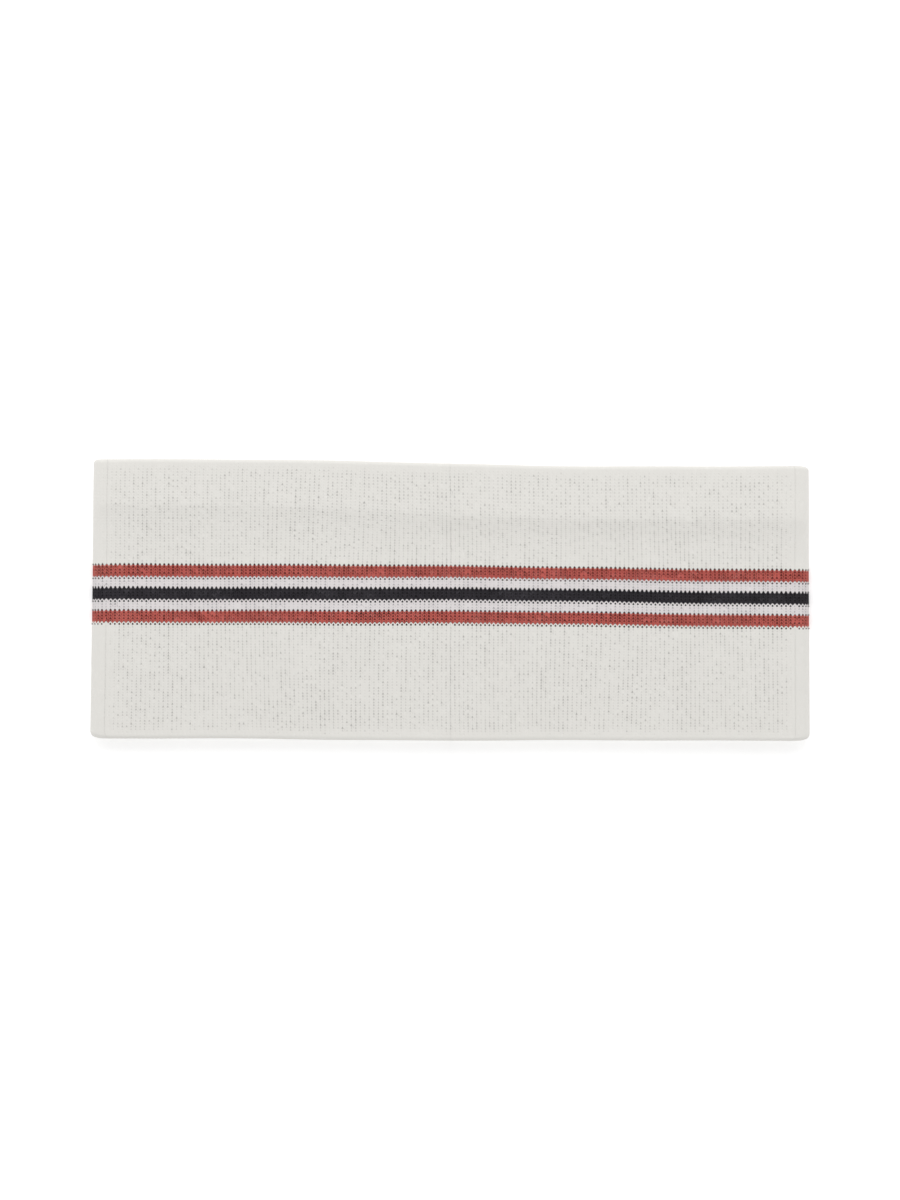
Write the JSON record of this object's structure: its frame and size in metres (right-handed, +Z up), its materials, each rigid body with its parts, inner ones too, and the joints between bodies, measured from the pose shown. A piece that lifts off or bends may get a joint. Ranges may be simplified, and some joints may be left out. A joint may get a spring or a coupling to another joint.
{
  "type": "sports headband",
  "caption": "Knitted loop headband lying flat, folded double, cream with a dark stripe between two red stripes; its front panel lifts to open the loop.",
  "frame": {"origin": "under the middle of the band, on the surface that it lies on", "axes": "+X along the band to the right-hand fold, +Y across the band to its upper edge, +Z up through the front face"},
  "size_m": [0.2512, 0.098, 0.0106],
  "materials": {
    "cream_yarn": "matte off-white fine stitch knit",
    "white_yarn": "matte cool white fine stitch knit",
    "red_yarn": "matte brick red fine stitch knit",
    "navy_yarn": "matte navy black fine stitch knit",
    "seam_thread": "matte off-white linking thread"
  },
  "bodies": {
    "back_and_folds": {"left_fold_upper_cream": "cream_yarn", "left_fold_red_stripe_upper": "red_yarn", "left_fold_white_gap_upper": "white_yarn", "left_fold_navy_stripe": "navy_yarn", "left_fold_white_gap_lower": "white_yarn", "left_fold_red_stripe_lower": "red_yarn", "left_fold_lower_cream": "cream_yarn", "left_fold_linking_seam": "seam_thread", "back_left_upper_cream": "cream_yarn", "back_left_red_stripe_upper": "red_yarn", "back_left_white_gap_upper": "white_yarn", "back_left_navy_stripe": "navy_yarn", "back_left_white_gap_lower": "white_yarn", "back_left_red_stripe_lower": "red_yarn", "back_left_lower_cream": "cream_yarn", "back_left_linking_seam": "seam_thread", "back_right_upper_cream": "cream_yarn", "back_right_red_stripe_upper": "red_yarn", "back_right_white_gap_upper": "white_yarn", "back_right_navy_stripe": "navy_yarn", "back_right_white_gap_lower": "white_yarn", "back_right_red_stripe_lower": "red_yarn", "back_right_lower_cream": "cream_yarn", "back_right_linking_seam": "seam_thread", "right_fold_upper_cream": "cream_yarn", "right_fold_red_stripe_upper": "red_yarn", "right_fold_white_gap_upper": "white_yarn", "right_fold_navy_stripe": "navy_yarn", "right_fold_white_gap_lower": "white_yarn", "right_fold_red_stripe_lower": "red_yarn", "right_fold_lower_cream": "cream_yarn", "right_fold_linking_seam": "seam_thread", "centre_back_seam": "seam_thread"},
    "front_panel": {"front_upper_cream": "cream_yarn", "front_red_stripe_upper": "red_yarn", "front_white_gap_upper": "white_yarn", "front_navy_stripe": "navy_yarn", "front_white_gap_lower": "white_yarn", "front_red_stripe_lower": "red_yarn", "front_lower_cream": "cream_yarn", "front_linking_seam": "seam_thread"}
  },
  "joints": [
    {"name": "loop_opening", "type": "slide", "parent": "back_and_folds", "child": "front_panel", "axis": [0, 0, 1], "range_m": [0, 0.04]}
  ]
}
